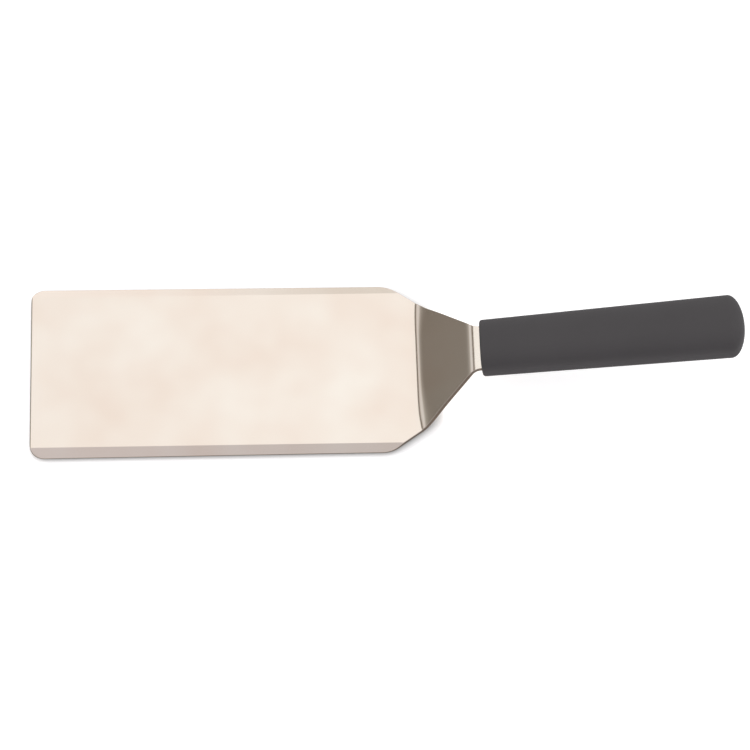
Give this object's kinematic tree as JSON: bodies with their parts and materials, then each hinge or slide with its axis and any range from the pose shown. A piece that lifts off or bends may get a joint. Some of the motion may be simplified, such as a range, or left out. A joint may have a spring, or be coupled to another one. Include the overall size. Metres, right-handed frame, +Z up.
{
  "type": "grill spatula",
  "caption": "Offset grill turner: wide flat stainless blade with bevel-ground sides, rising shank and a matt moulded handle.",
  "frame": {"origin": "centre of the blade's flat underside, which is the face it rests on", "axes": "+X from the blade's front edge to the butt of the handle, +Z up out of the blade's top face, +Y across the blade"},
  "size_m": [0.3727, 0.1016, 0.05],
  "materials": {
    "stainless": "bright satin stainless steel, bevel-ground along the sides",
    "core_plastic": "moulded polypropylene, hidden inside the grip",
    "grip_elastomer": "matt charcoal moulded elastomer with a fine grain"
  },
  "bodies": {
    "root": {"blade": "stainless", "handle_core": "core_plastic", "handle_grip": "grip_elastomer"}
  },
  "joints": []
}
